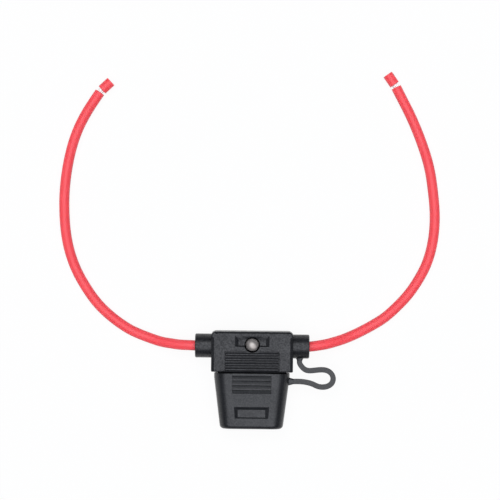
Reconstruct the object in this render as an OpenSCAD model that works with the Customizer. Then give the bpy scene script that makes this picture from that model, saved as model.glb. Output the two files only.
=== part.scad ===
// Sealed inline holder for a blade fuse, with a tethered cap and a blown-fuse light.
// It lies on its back: +X runs along the wire sleeves, the cap points along -Y, the front looks up.
// The origin is on the table under the middle of the sleeve axis.

/* [Blade fuse] */
// Width of the fuse across its head
fuse_w = 19.1; // [18.6:0.1:20]
// Height of the fuse's moulded body
fuse_h = 12.1; // [11:0.1:13.5]
// Thickness of the fuse's head
fuse_t = 5.1; // [4.8:0.1:6]
// How far the head stands out past the lower body on each face
fuse_shoulder = 0.5; // [0.3:0.05:0.8]
// Height of the wide head
fuse_head_h = 4.2; // [3:0.1:5]
// Width of one blade
blade_w = 5.2; // [4.8:0.1:5.6]
// Thickness of the blades and of the fuse element
blade_t = 0.65; // [0.5:0.05:0.8]
// Length of a blade below the body
blade_l = 7; // [6:0.1:7.4]
// Distance between the two blades' centre lines
blade_pitch = 9.5; // [9.2:0.1:10]

/* [Cap] */
// Wall of the cap
cap_wall = 1.4; // [1.1:0.1:1.6]
// Room between the fuse's edge and the cap's inside, at the closed end
fuse_side_room = 1.75; // [1.2:0.05:3]
// Room between the fuse's face and the cap's inside, at the closed end
fuse_face_room = 0.75; // [0.5:0.05:2]
// Room between the fuse's head and the cap's inner end
fuse_end_room = 0.4; // [0.2:0.1:3]
// How much wider the cap is at its mouth than at its end, each side
cap_flare = 2.4; // [1.2:0.1:3.5]
// How much thicker the cap is at its mouth than at its end, each face
cap_flare_t = 0.8; // [0.3:0.1:1.5]
// Rounding of the closed end's edge
cap_end_r = 1.6; // [0.8:0.1:2.4]
// Length of the straight collar that shows below the housing
collar_l = 2.4; // [1.5:0.1:3]
// How far the collar stands out past the neck that goes into the skirt
neck_step = 0.9; // [0.6:0.1:1.2]
// Gap that shows between the skirt and the collar
collar_gap = 0.6; // [0.3:0.1:1]

/* [Housing] */
// How far the housing stands out past the collar at its sides
skirt_side_step = 1.3; // [0.8:0.05:2]
// How far the housing stands out past the collar at its faces
skirt_face_step = 1.5; // [1:0.05:2.5]
// Length of the skirt that takes the cap's neck
skirt_l = 4.7; // [3.5:0.1:6]
// Step from the skirt into the chamber, each side
ledge_w = 0.2; // [0.1:0.05:0.5]
// Step from the skirt into the chamber, each face
ledge_t = 0.1; // [0.05:0.05:0.3]
// Height of the housing's top above the sleeve axis
housing_top = 6.1; // [5.6:0.1:9]
// Roof over the chamber that holds the contacts
roof_wall = 1.6; // [1:0.1:2]
// How much the sides and the top draw in from the parting line to the chamfer
draft = 0.15; // [0.05:0.05:0.4]
// Width of the chamfer along the sides of each face
side_chamfer = 1.15; // [0.6:0.05:1.5]
// Width of the chamfer along the top of each face
top_chamfer = 0.75; // [0.4:0.05:1]
// Height of the chamfer
chamfer_h = 0.65; // [0.4:0.05:0.9]
// Corner radius at the housing's top
top_corner_r = 1.8; // [1:0.1:2.5]
// Corner radius at the housing's lower edge
foot_corner_r = 0.4; // [0.2:0.1:0.8]
// Length of a wire sleeve past the housing's side
sleeve_l = 6.4; // [4:0.1:12]
// Wall of a wire sleeve
sleeve_wall = 2.7; // [2:0.05:3.2]

/* [Socket block] */
// Thickness of the flange that seats above the skirt
flange_h = 2; // [1.4:0.1:3]
// Length of the spigot below the flange
spigot_l = 13.6; // [12.8:0.1:15]
// Floor of the spigot that the blades pass through
spigot_floor = 1; // [0.6:0.1:1.4]

/* [Grips and recesses] */
// Width of the housing's ribbed grip
grip_w = 22.5; // [14:0.5:24]
// Distance from the sleeve axis down to the housing's grip
grip_top = 1.8; // [1.2:0.1:3]
// Depth of the housing's grip below the face
grip_depth = 0.2; // [0.1:0.05:0.35]
// Distance from groove to groove on the housing's grip
groove_pitch = 2; // [1.6:0.1:2.6]
// Radius of a rounded groove
groove_r = 0.62; // [0.5:0.02:0.95]
// Depth of a rounded groove
groove_depth = 0.55; // [0.3:0.05:0.6]
// Width of the cap's ribbed grip
cap_grip_w = 15.5; // [10:0.5:18]
// Number of teeth on the cap's grip
cap_teeth = 4; // [2:1:5]
// Distance from tooth to tooth on the cap's grip
tooth_pitch = 1.9; // [1.5:0.1:2.1]
// Depth of a tooth on the cap's grip
tooth_depth = 0.7; // [0.3:0.05:0.8]
// Width of the flat on top of a tooth
tooth_land = 0.4; // [0.2:0.05:0.6]
// Width of both window recesses at the surface
window_w = 13.7; // [10:0.1:16]
// Height of both window recesses at the surface
window_h = 4.5; // [3:0.1:4.8]
// Depth of both window recesses
window_depth = 0.75; // [0.4:0.05:0.9]
// Run of a window's sloping ends
window_slope = 1.4; // [0.5:0.1:2]
// Distance from the cap's end up to its window recess
cap_window_rise = 4.3; // [3.5:0.1:7]

/* [Indicator light] */
// Diameter of the lens
led_d = 5.2; // [4.8:0.1:5.4]
// Height of the lens with its flange
led_h = 8.7; // [8:0.1:9]
// Width of the lens's flange past its body
led_lip = 0.35; // [0.2:0.05:0.5]
// Distance of the light above the sleeve axis
led_y = 0.7; // [0:0.1:1.2]
// Width of the ring-shaped gap round the lens
led_gap = 0.5; // [0.2:0.05:0.7]
// Side of the lead frame's square legs
leg_t = 0.5; // [0.4:0.05:0.6]
// Distance between the two legs
leg_pitch = 2.54; // [2.4:0.01:2.8]

/* [Contacts and wire] */
// Sheet thickness of the terminals
terminal_t = 0.5; // [0.4:0.05:0.6]
// Length of the blade receptacle
receptacle_l = 7.6; // [6.8:0.1:8.4]
// Length of the crimp barrel
barrel_l = 5.6; // [4:0.1:5.8]
// Outer diameter of the wire
lead_d = 4.1; // [3.6:0.1:4.4]
// Diameter of the bundle of strands
strands_d = 2.4; // [2:0.1:2.6]
// Length of the gap cut in the insulation near each lead's end
strip_gap = 1.3; // [0.8:0.1:4]
// Length of the insulation slug left on each end
slug_l = 4.9; // [3:0.1:8]

/* [Tether] */
// Width of the strap
strap_w = 2.1; // [1.6:0.1:2.8]
// Thickness of the strap
strap_t = 2.2; // [1.6:0.1:3]
// Bevel along the strap's edges
strap_bevel = 0.45; // [0.2:0.05:0.7]
// Width of the strap's flared roots
root_w = 3.4; // [2.8:0.1:4]
// Length of a root past what it grows from
root_l = 0.8; // [0.5:0.1:1.2]

/* [Fits] */
// Gap between the cap's neck and the skirt round it
cap_fit = 0.2; // [0.1:0.05:0.3]
// Gap between the socket block's spigot and the cap
spigot_fit = 0.3; // [0.2:0.05:0.5]
// Gap round the socket block's flange, the terminals and the lens
seat_fit = 0.1; // [0.05:0.01:0.15]
// Gap between a wire and its sleeve, and between strands and what holds them
wire_fit = 0.05; // [0.02:0.01:0.1]
// Gap between the blades and what they slide in
blade_fit = 0.02; // [0.01:0.01:0.05]

/* [Hidden] */
$fn = 64;
arc_n = 14;
past = 1;

// Contacts: crimp barrel on the sleeve axis, arm below it, receptacle below that
barrel_ri = strands_d / 2 + wire_fit;
barrel_ro = barrel_ri + terminal_t;
arm_top = -barrel_ri - 0.05;
arm_h = 1.7;
arm_low = arm_top - arm_h;
roll_ri = blade_t / 2 + 0.1;
roll_ro = roll_ri + terminal_t;
roll_x = blade_w / 2 - 0.1;

// Socket block, down the -Y axis
flange_top = arm_low - 0.4;
ledge_y = flange_top - flange_h;
spigot_end = ledge_y - spigot_l;
receptacle_end = spigot_end + spigot_floor + 2 * seat_fit;
receptacle_top = receptacle_end + receptacle_l;
slot_hw = roll_x + roll_ro + seat_fit;

// Fuse and cap, further down the -Y axis
fuse_low = spigot_end - seat_fit;
fuse_top = fuse_low - fuse_h;
fuse_low_hw = blade_pitch / 2 + blade_w / 2 + 0.65;
cap_floor = fuse_top - fuse_end_room;
cap_end = cap_floor - cap_wall;
taper_end = cap_end + cap_end_r;
skirt_end = ledge_y - skirt_l;
collar_top = skirt_end - collar_gap;
collar_end = skirt_end - collar_l;
neck_top = ledge_y - cap_fit;
cap_hw0 = fuse_w / 2 + fuse_side_room + cap_wall + cap_flare;
cap_ht0 = fuse_t / 2 + fuse_face_room + cap_wall + cap_flare_t;

// Housing, laid out round the parting plane at half its thickness
neck_hw = cap_hw0 - neck_step;
neck_ht = cap_ht0 - neck_step;
pocket_hw = neck_hw + cap_fit;
pocket_ht = neck_ht + cap_fit;
housing_hw = cap_hw0 + skirt_side_step;
housing_ht = cap_ht0 + skirt_face_step;
housing_t = 2 * housing_ht;
axis_z = housing_ht;
chamber_hw = pocket_hw - ledge_w;
chamber_ht = pocket_ht - ledge_t;
chamber_top = housing_top - roof_wall;
bore_r = lead_d / 2 + wire_fit;
sleeve_r = bore_r + sleeve_wall;
sleeve_x = housing_hw + sleeve_l;
sheet_z = axis_z - blade_t / 2 - blade_fit - terminal_t;
barrel_x1 = chamber_hw - 0.4;
barrel_x0 = barrel_x1 - barrel_l;
strip_x = chamber_hw + 1;

// Light: lens, lead frame and series resistor
led_r = led_d / 2;
led_z0 = housing_t - led_h;
led_flange_h = 1;
boss_r = led_r + seat_fit + 0.8;
arm_in = boss_r - 0.3;
leg_x = leg_pitch / 2;
run_z = led_z0 - 1.7;
solder_x = (barrel_x0 + barrel_x1) / 2 - 1.2;
cup_z = led_z0 + 3.7;
cup_h = 0.9;
cup_r = leg_x - leg_t / 2 - 0.1;
wire_r = 0.25;
res_r = 0.95;
res_x0 = 3.4;
res_x1 = 6.8;
res_y = led_y + leg_t / 2 + wire_r + blade_fit;

// Tether roots
sleeve_root_x = housing_hw + 2.6;
sleeve_root_y = -sleeve_r - root_l;
cap_root_y = collar_end - 1.5;

// Wire lying on the table
lead_z = lead_d / 2;
lead_sides = 10;

// Route of each lead, from the stripped end at the crimp, out of its sleeve and down to the table
left_route = [
    [-strip_x, 0, axis_z], [-sleeve_x, 0, axis_z], [-26, 0.1, 6.8], [-29, 0.2, 6.2],
    [-32.5, 0.6, 5.1], [-36, 1.1, 3.9], [-40, 2.2, 2.8], [-44, 3.6, 2.2], [-48.5, 5.5, lead_z],
    [-53, 8.2, lead_z], [-58, 12, lead_z], [-63, 17, lead_z], [-67, 22.5, lead_z],
    [-70.5, 28.5, lead_z], [-73.2, 35, lead_z], [-75.2, 43, lead_z], [-76.1, 51.5, lead_z],
    [-76.2, 60, lead_z], [-75.4, 69, lead_z], [-73.8, 77.5, lead_z], [-71.3, 85.5, lead_z],
    [-68.2, 92, lead_z], [-64.8, 97.6, lead_z], [-62.4, 101.2, lead_z]
];
right_route = [
    [strip_x, 0, axis_z], [sleeve_x, 0, axis_z], [26, 0.4, 6.8], [29.5, 1, 6.1],
    [33, 1.9, 5], [36.5, 3, 3.8], [40, 4.4, 2.8], [44, 6.3, 2.2], [48.5, 8.8, lead_z],
    [53, 11.7, lead_z], [57.5, 15.7, lead_z], [62, 20.5, lead_z], [66, 26.2, lead_z],
    [69.3, 32.4, lead_z], [71.5, 39.2, lead_z], [72.7, 47, lead_z], [72.8, 55, lead_z],
    [72, 63, lead_z], [70.5, 72, lead_z], [68.1, 80, lead_z], [65.2, 87.5, lead_z],
    [61.9, 94.7, lead_z], [58.6, 101, lead_z], [56.8, 104.5, lead_z]
];
// Turn of each slug from its lead's end direction, where the strands are bent
left_slug_turn = -13;
right_slug_turn = 8;

// Points of an arc round a centre
function arc(c, r, a0, a1, n) =
    [for (i = [0:n]) let (a = a0 + (a1 - a0) * i / n) [c[0] + r * cos(a), c[1] + r * sin(a)]];

// Outline with two flat faces and half-round sides
function stadium(hw, r) =
    concat(arc([hw - r, 0], r, -90, 90, arc_n), arc([r - hw, 0], r, 90, 270, arc_n));

// Outline of a round wire, with a point straight below its middle
function round_section(r, sides) =
    [for (i = [0:sides - 1]) let (a = 360 * i / sides - 90) [r * cos(a), r * sin(a)]];

// Rectangle with bevelled corners
function bevelled(w, t, b) = [
    [w / 2 - b, -t / 2], [w / 2, b - t / 2], [w / 2, t / 2 - b], [w / 2 - b, t / 2],
    [b - w / 2, t / 2], [-w / 2, t / 2 - b], [-w / 2, b - t / 2], [b - w / 2, -t / 2]
];

function unit(v) = v / norm(v);

// Direction of a line at one of its points
function heading(p, i) =
    i == 0 ? unit(p[1] - p[0])
    : i == len(p) - 1 ? unit(p[i] - p[i - 1])
    : unit(unit(p[i] - p[i - 1]) + unit(p[i + 1] - p[i]));

// One section of a swept line, widened at a bend so that its width stays true
function swept_ring(p, i, section, up) =
    let (t = heading(p, i), side = unit(cross(up, t)), v = cross(t, side),
         turn = i == 0 ? 1 : t * unit(p[i] - p[i - 1]), k = 1 / max(turn, 0.6))
    [for (s = section) p[i] + s[0] * k * side + s[1] * v];

// Strip of even width along a flat line
function strip(p, w) =
    let (n = len(p), q = [for (i = [0:n - 1]) [p[i][0], p[i][1], 0]],
         s = [[w / 2, 0], [-w / 2, 0]],
         r = [for (i = [0:n - 1]) swept_ring(q, i, s, [0, 0, 1])])
    concat([for (i = [0:n - 1]) [r[i][1][0], r[i][1][1]]],
        [for (i = [n - 1:-1:0]) [r[i][0][0], r[i][0][1]]]);

// Outline in X and Z, stood up at one place along Y
function ring_at(outline, y) = [for (q = outline) [q[0], y, axis_z + q[1]]];

// Half width and half thickness of the cap's outside at one place along Y
function taper(y) = (collar_end - max(y, taper_end)) / (collar_end - taper_end);
function cap_hw(y) = y > collar_end ? cap_hw0 : cap_hw0 - cap_flare * taper(y);
function cap_ht(y) = y > collar_end ? cap_ht0 : cap_ht0 - cap_flare_t * taper(y);

// Half width and half thickness of the cap's inside, straight from the closed end to the mouth
inner_r = 0.8;
inner_low = cap_floor + inner_r;
function inner_share(y) = (y - inner_low) / (neck_top - inner_low);
function inner_hw(y) =
    let (low = cap_hw(inner_low)) low + (neck_hw - low) * inner_share(y) - cap_wall;
function inner_ht(y) =
    let (low = cap_ht(inner_low)) low + (neck_ht - low) * inner_share(y) - cap_wall;

// Underside of a crimp barrel at one distance from its axis
function barrel_under(y) = axis_z - sqrt(barrel_ro * barrel_ro - y * y);

// Closed solid through a row of rings with equal numbers of points
module skin(rings) {
    n = len(rings[0]);
    last = len(rings) - 1;
    sides = [for (i = [0:last - 1], j = [0:n - 1]) let (k = (j + 1) % n, a = i * n, b = a + n)
        each [[a + j, b + j, b + k], [a + j, b + k, a + k]]];
    lids = [[for (j = [0:n - 1]) j], [for (j = [n - 1:-1:0]) last * n + j]];
    polyhedron([for (ring = rings) each ring], concat(sides, lids), convexity = 8);
}

module sweep(path, section, up) {
    skin([for (i = [0:len(path) - 1]) swept_ring(path, i, section, up)]);
}

// Outline in X and Z, extruded between two places along Y
module prism_y(outline, y0, y1) {
    translate([0, y1, 0]) rotate([90, 0, 0]) linear_extrude(y1 - y0) polygon(outline);
}

// Outline in Y and Z, extruded between two places along X
module prism_x(outline, x0, x1) {
    translate([x0, 0, 0]) rotate([90, 0, 90]) linear_extrude(x1 - x0) polygon(outline);
}

module box(x, y, z) {
    translate([x[0], y[0], z[0]]) cube([x[1] - x[0], y[1] - y[0], z[1] - z[0]]);
}

// Rod along X
module rod_x(x0, x1, r) {
    translate([x0, 0, 0]) rotate([0, 90, 0]) cylinder(h = x1 - x0, r = r);
}

// A cut in the front face, and the same cut in the back face
module both_faces() {
    children();
    translate([0, 0, 2 * axis_z]) mirror([0, 0, 1]) children();
}

// Shallow recess with sloping ends, a lower slope and an upper slope
module window(y0, face_z, low_slope, top_slope) {
    floor_z = face_z - window_depth;
    y1 = y0 + window_h;
    hw = window_w / 2;
    k = 1 + past / window_depth;
    intersection() {
        prism_y([[window_slope - hw, floor_z], [hw - window_slope, floor_z],
            [hw - window_slope + window_slope * k, face_z + past],
            [window_slope - hw - window_slope * k, face_z + past]], y0 - 3, y1 + 3);
        prism_x([[y0 + low_slope, floor_z], [y1 - top_slope, floor_z],
            [y1 - top_slope + top_slope * k, face_z + past],
            [y0 + low_slope - low_slope * k, face_z + past]], -window_w, window_w);
    }
}

// Rounded groove with ball ends, lying along X
module groove(half_l) {
    rotate([0, 90, 0]) rotate_extrude($fn = 32)
        polygon(concat(arc([0, groove_r - half_l], groove_r, -90, 0, 4),
            arc([0, half_l - groove_r], groove_r, 0, 90, 4)));
}

// Grip of the housing: a shallow recess that runs out at the lower edge, with rounded grooves
module housing_grip() {
    floor_z = housing_t - grip_depth;
    first = grip_top + 1.3;
    last = floor((-skirt_end - first - 0.7) / groove_pitch);
    box([-grip_w / 2, grip_w / 2], [skirt_end - past, -grip_top], [floor_z, housing_t + past]);
    for (i = [0:last])
        translate([0, -first - i * groove_pitch, floor_z - groove_depth + groove_r])
            groove(grip_w / 2 - 0.3);
}

// Grip of the cap: teeth that rise to a crest and drop back, like shingles
module cap_grip() {
    wall0 = skirt_end - 1.5;
    crest = 0.06;
    draw = 0.25;
    top = axis_z + cap_ht0 + past;
    teeth = [for (i = [0:cap_teeth - 1]) let (a = wall0 - i * tooth_pitch, b = a - tooth_pitch)
        each [[a, axis_z + cap_ht(a) - crest], [a - draw, axis_z + cap_ht(a) - tooth_depth],
            [b + tooth_land, axis_z + cap_ht(b) - crest]]];
    low = wall0 - cap_teeth * tooth_pitch + tooth_land;
    prism_x(concat([[low, top], [collar_top + past, top],
        [collar_top + past, axis_z + cap_ht0 - crest]], teeth),
        -cap_grip_w / 2, cap_grip_w / 2);
}

// Root that grows from a wall, flared at its start, to the section of the strap
module root(start, end, up) {
    way = unit(end - start);
    skin([for (q = [[start, root_w], [end, strap_w]])
        let (s = bevelled(q[1], strap_t, strap_bevel), side = cross(up, way))
        [for (c = s) q[0] + c[0] * side + c[1] * up]]);
}

// Outline of the housing, drawn in at its sides and top
function housing_outline(side_in, top_in) =
    let (hw = housing_hw - side_in, top = housing_top - top_in,
         rt = top_corner_r, rf = foot_corner_r)
    concat(
        arc([hw - rf, skirt_end + rf], rf, -90, 0, 3), arc([hw - rt, top - rt], rt, 0, 90, 6),
        arc([rt - hw, top - rt], rt, 90, 180, 6), arc([rf - hw, skirt_end + rf], rf, 180, 270, 3));

function housing_ring(z, side_in, top_in) =
    [for (q = housing_outline(side_in, top_in)) [q[0], q[1], z]];

// The drafted block, parted at half its thickness, with a chamfer round each face
module housing_block() {
    side_in = side_chamfer + draft;
    top_in = top_chamfer + draft;
    skin([housing_ring(0, side_in, top_in), housing_ring(chamfer_h, draft, draft),
        housing_ring(axis_z, 0, 0), housing_ring(housing_t - chamfer_h, draft, draft),
        housing_ring(housing_t, side_in, top_in)]);
}

// One wire sleeve, along +X, with a chamfered mouth
module sleeve() {
    c = 0.35;
    translate([0, 0, axis_z]) rotate([0, 90, 0]) rotate_extrude()
        polygon([[0, housing_hw - 3], [sleeve_r, housing_hw - 3], [sleeve_r, sleeve_x - c],
            [sleeve_r - c, sleeve_x], [0, sleeve_x]]);
}

module housing() {
    color([0.13, 0.13, 0.14]) difference() {
        union() {
            difference() {
                union() {
                    housing_block();
                    sleeve();
                    mirror([1, 0, 0]) sleeve();
                    root([sleeve_root_x, 0.6 - sleeve_r, axis_z],
                        [sleeve_root_x, sleeve_root_y, axis_z], [0, 0, 1]);
                }
                prism_y([for (q = stadium(pocket_hw, pocket_ht)) [q[0], axis_z + q[1]]],
                    skirt_end - past, ledge_y);
                box([-chamber_hw, chamber_hw], [ledge_y - past, chamber_top],
                    [axis_z - chamber_ht, axis_z + chamber_ht]);
            }
            // Boss that the lens sits in
            translate([0, led_y, led_z0 + led_flange_h])
                cylinder(h = axis_z + chamber_ht + 0.5 - led_z0 - led_flange_h, r = boss_r);
        }
        translate([0, 0, axis_z]) rod_x(-sleeve_x - past, sleeve_x + past, bore_r);
        translate([0, led_y, 0]) {
            translate([0, 0, led_z0]) cylinder(h = housing_t, r = led_r + seat_fit);
            translate([0, 0, housing_t - window_depth - 2.2]) cylinder(h = 5, r = led_r + led_gap);
        }
        window(0, housing_t, 0.45, 1.5);
        both_faces() housing_grip();
    }
}

// Socket block: a flange in the chamber and a tapered spigot with a slot for each terminal
module socket_block() {
    hw = inner_hw(spigot_end) - spigot_fit;
    ht = min(inner_ht(spigot_end), inner_ht(neck_top)) - spigot_fit;
    hw0 = inner_hw(neck_top) - spigot_fit;
    ht0 = inner_ht(neck_top) - spigot_fit;
    fl = [chamber_hw - seat_fit, chamber_ht - seat_fit];
    color([0.2, 0.2, 0.21]) difference() {
        union() {
            box([-fl[0], fl[0]], [ledge_y, flange_top], [axis_z - fl[1], axis_z + fl[1]]);
            skin([ring_at(stadium(hw0, ht0), ledge_y + 0.5),
                ring_at(stadium(hw, ht), spigot_end + 0.5),
                ring_at(stadium(hw - 0.5, ht - 0.5), spigot_end)]);
        }
        for (s = [-1, 1]) translate([s * blade_pitch / 2, 0, 0]) {
            box([-slot_hw, slot_hw], [spigot_end + spigot_floor, flange_top + past],
                [sheet_z - seat_fit, sheet_z + 2 * roll_ro + seat_fit]);
            box([-blade_w / 2 - 0.3, blade_w / 2 + 0.3], [spigot_end - past, spigot_end + 2],
                [axis_z - blade_t / 2 - 0.2, axis_z + blade_t / 2 + 0.2]);
        }
    }
}

// Cap: one thin shell, from its inner end out over the mouth and back along the outside
module cap_shell() {
    lip = 0.3;
    inside = [for (a = [0, 30, 60, 90])
        let (y = cap_floor + inner_r * (1 - cos(a)), d = cap_wall + inner_r * (1 - sin(a)))
        ring_at(stadium(cap_hw(y) - d, cap_ht(y) - d), y)];
    throat = [
        ring_at(stadium(inner_hw(neck_top - lip), inner_ht(neck_top - lip)), neck_top - lip),
        ring_at(stadium(inner_hw(neck_top) + lip, inner_ht(neck_top) + lip), neck_top)
    ];
    outside = [
        ring_at(stadium(neck_hw - lip, neck_ht - lip), neck_top),
        ring_at(stadium(neck_hw, neck_ht), neck_top - lip),
        ring_at(stadium(neck_hw, neck_ht), collar_top),
        ring_at(stadium(cap_hw0 - 0.15, cap_ht0 - 0.15), collar_top),
        ring_at(stadium(cap_hw0, cap_ht0), collar_top - 0.15),
        ring_at(stadium(cap_hw0, cap_ht0), collar_end)
    ];
    end = [for (a = [0:15:90]) let (y = taper_end - cap_end_r * sin(a), d = cap_end_r * (1 - cos(a)))
        ring_at(stadium(cap_hw(taper_end) - d, cap_ht(taper_end) - d), y)];
    skin(concat(inside, throat, outside, end));
}

module cap() {
    y0 = cap_end + cap_window_rise;
    color([0.12, 0.12, 0.13]) difference() {
        union() {
            cap_shell();
            root([cap_hw(cap_root_y) - 0.7, cap_root_y, axis_z],
                [cap_hw(cap_root_y) + root_l + 1, cap_root_y, axis_z], [0, 0, 1]);
        }
        window(y0, axis_z + cap_ht(y0 + window_h / 2), 0.45, 1);
        both_faces() cap_grip();
    }
}

// Middle line of the strap, from the sleeve's root round to the cap's root
module tether_strap() {
    root_x = cap_hw(cap_root_y) + root_l + 1;
    route = [
        [sleeve_root_x, sleeve_root_y], [sleeve_root_x, -6.4], [19.9, -8], [21.5, -9.3],
        [23.3, -9.6], [25.3, -9.4], [27.3, -9.2], [29.3, -9.3], [31, -10], [32.2, -11.4],
        [32.5, -13], [31.9, -14.6], [30.4, -15.7], [28.4, -16.1], [26.3, -15.8], [24.2, -14.9],
        [22, -14.3], [19.6, cap_root_y], [root_x, cap_root_y]
    ];
    color([0.16, 0.16, 0.17]) sweep([for (q = route) [q[0], q[1], axis_z]],
        bevelled(strap_w, strap_t, strap_bevel), [0, 0, 1]);
}

// Lead frame of the light: the cathode carries the reflector cup
module led_cathode() {
    y0 = led_y - leg_t / 2;
    y1 = led_y + leg_t / 2;
    end_z = barrel_under(led_y - leg_t / 2) - 0.05;
    color([0.75, 0.75, 0.76]) {
        prism_y(strip([[leg_x, led_z0 + 2.4], [leg_x, run_z], [solder_x, run_z],
            [solder_x, end_z]], leg_t), y0, y1);
        difference() {
            union() {
                prism_y([[leg_x - leg_t / 2, led_z0 + 2.3], [leg_x + leg_t / 2, led_z0 + 2.3],
                    [leg_x + leg_t / 2, cup_z + 0.2], [-0.6, cup_z + 0.2], [-0.6, cup_z - 0.6]],
                    y0, y1);
                translate([0, led_y, cup_z]) cylinder(h = cup_h, r = cup_r);
            }
            translate([0, led_y, cup_z + 0.3]) cylinder(h = cup_h, r1 = 0.35, r2 = 1.1);
        }
    }
}

module led_anode() {
    y0 = led_y - leg_t / 2;
    y1 = led_y + leg_t / 2;
    color([0.75, 0.75, 0.76]) {
        prism_y(strip([[-leg_x, led_z0 + 3.2], [-leg_x, run_z], [0.4 - res_x0, run_z]], leg_t),
            y0, y1);
        // Post that the bond wire would land on
        prism_y([[-leg_x - leg_t / 2, led_z0 + 3.1], [-leg_x + leg_t / 2, led_z0 + 3.1],
            [-leg_x + leg_t / 2, cup_z + cup_h + 0.2], [-leg_x - leg_t, cup_z + cup_h + 0.2],
            [-leg_x - leg_t, cup_z + cup_h - 0.3]], y0, y1);
    }
}

module led_lens() {
    flange_r = led_r + led_lip;
    color([0.92, 0.94, 0.95, 0.6]) difference() {
        translate([0, led_y, 0]) rotate_extrude()
            polygon(concat([[0, led_z0], [flange_r, led_z0], [flange_r, led_z0 + led_flange_h],
                [led_r, led_z0 + led_flange_h]], arc([0, housing_t - led_r], led_r, 0, 90, 8)));
        led_cathode();
        led_anode();
    }
}

// Series resistor, with domed ends and a waist
module resistor_body() {
    l = res_x1 - res_x0;
    color([0.72, 0.66, 0.5]) translate([-res_x1, res_y, run_z]) rotate([0, 90, 0])
        rotate_extrude() polygon([[0, 0], [res_r * 0.6, 0], [res_r, 0.35], [res_r, 0.9],
            [res_r * 0.86, 1.2], [res_r * 0.86, l - 1.2], [res_r, l - 0.9], [res_r, l - 0.35],
            [res_r * 0.6, l], [0, l]]);
}

module resistor_inner_lead() {
    color([0.78, 0.78, 0.78]) translate([0, res_y, run_z]) rod_x(-res_x0, -leg_x - 0.3, wire_r);
}

module resistor_outer_lead() {
    end_z = barrel_under(res_y - wire_r) - 0.05;
    path = [[-res_x1, res_y, run_z], [0.5 - solder_x, res_y, run_z],
        [0.15 - solder_x, res_y, run_z + 0.15], [-solder_x, res_y, run_z + 0.5],
        [-solder_x, res_y, end_z]];
    color([0.78, 0.78, 0.78]) sweep(path, round_section(wire_r, 8), [0, 1, 0]);
}

// Terminal: a receptacle with rolled edges, an arm and a rolled crimp barrel, one folded sheet
module terminal() {
    z1 = sheet_z + terminal_t;
    mid = blade_pitch / 2;
    roll = concat(arc([roll_x, sheet_z + roll_ro], roll_ro, -90, 135, 12),
        arc([roll_x, sheet_z + roll_ro], roll_ri, 135, -90, 12));
    color([0.8, 0.72, 0.5]) {
        translate([mid, 0, 0]) {
            box([-roll_x, roll_x], [receptacle_end, receptacle_top], [sheet_z, z1]);
            prism_y(roll, receptacle_end, receptacle_top);
            mirror([1, 0, 0]) prism_y(roll, receptacle_end, receptacle_top);
        }
        translate([0, 0, sheet_z]) linear_extrude(terminal_t)
            polygon([[arm_in, receptacle_top - 1], [mid + 1.9, receptacle_top - 1],
                [mid + 1.9, arm_low], [barrel_x1, arm_low], [barrel_x1, arm_top],
                [arm_in, arm_top]]);
        translate([0, 0, axis_z]) difference() {
            rod_x(barrel_x0, barrel_x1, barrel_ro);
            rod_x(barrel_x0 - past, barrel_x1 + past, barrel_ri);
            // Seam of the rolled barrel
            box([barrel_x0 - past, barrel_x1 + past], [-0.08, 0.08], [0, barrel_ro + past]);
        }
    }
}

module left_terminal() { mirror([1, 0, 0]) terminal(); }
module right_terminal() { terminal(); }

module crimped_strands() {
    color([0.85, 0.62, 0.42]) translate([0, 0, axis_z]) rod_x(barrel_x0, strip_x, strands_d / 2);
}

module left_crimped_strands() { mirror([1, 0, 0]) crimped_strands(); }
module right_crimped_strands() { crimped_strands(); }

module lead(route) {
    color([0.82, 0.1, 0.12]) sweep(route, round_section(lead_d / 2, lead_sides), [0, 0, 1]);
}

module left_lead() { lead(left_route); }
module right_lead() { lead(right_route); }

// Frame at a lead's end: +X runs on from the lead
module at_end(route) {
    last = len(route) - 1;
    way = heading(route, last);
    translate(route[last]) rotate([0, 0, atan2(way[1], way[0])]) children();
}

// Strands from the lead's end, bent in the gap and on through the slug
module bare_strands(route, turn) {
    kink = strip_gap / 2;
    run = kink + slug_l - 0.3;
    color([0.8, 0.78, 0.74]) at_end(route)
        sweep([[0, 0, 0], [kink, 0, 0], [kink + run * cos(turn), run * sin(turn), 0]],
            round_section(strands_d / 2, 12), [0, 0, 1]);
}

module slug(route, turn) {
    kink = strip_gap / 2;
    color([0.82, 0.1, 0.12]) at_end(route) translate([kink, 0, 0]) rotate([0, 0, turn])
        difference() {
            rod_x(kink, kink + slug_l, lead_d / 2);
            rod_x(kink - past, kink + slug_l + past, strands_d / 2 + wire_fit);
        }
}

module left_bare_strands() { bare_strands(left_route, left_slug_turn); }
module right_bare_strands() { bare_strands(right_route, right_slug_turn); }
module left_insulation_slug() { slug(left_route, left_slug_turn); }
module right_insulation_slug() { slug(right_route, right_slug_turn); }

// Fuse: two blades joined by a thin bridge, stamped from one strip
module fuse_element() {
    dx = blade_pitch / 2;
    y_in = fuse_top + 2.3;
    bridge_y = fuse_low - fuse_h / 2;
    color([0.78, 0.78, 0.76]) translate([0, 0, axis_z - blade_t / 2]) linear_extrude(blade_t) {
        for (s = [-1, 1]) translate([s * dx, 0])
            polygon([[-blade_w / 2, y_in], [blade_w / 2, y_in],
                [blade_w / 2, fuse_low + blade_l - 0.8], [blade_w / 2 - 0.7, fuse_low + blade_l],
                [0.7 - blade_w / 2, fuse_low + blade_l], [-blade_w / 2, fuse_low + blade_l - 0.8]]);
        polygon(strip([[0.5 - dx + blade_w / 2 - 1, bridge_y], [-1.3, bridge_y],
            [-0.9, bridge_y + 2.2], [0, bridge_y + 2.9], [0.9, bridge_y + 2.2],
            [1.3, bridge_y], [dx - blade_w / 2 + 0.5, bridge_y]], 0.8));
    }
}

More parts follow.
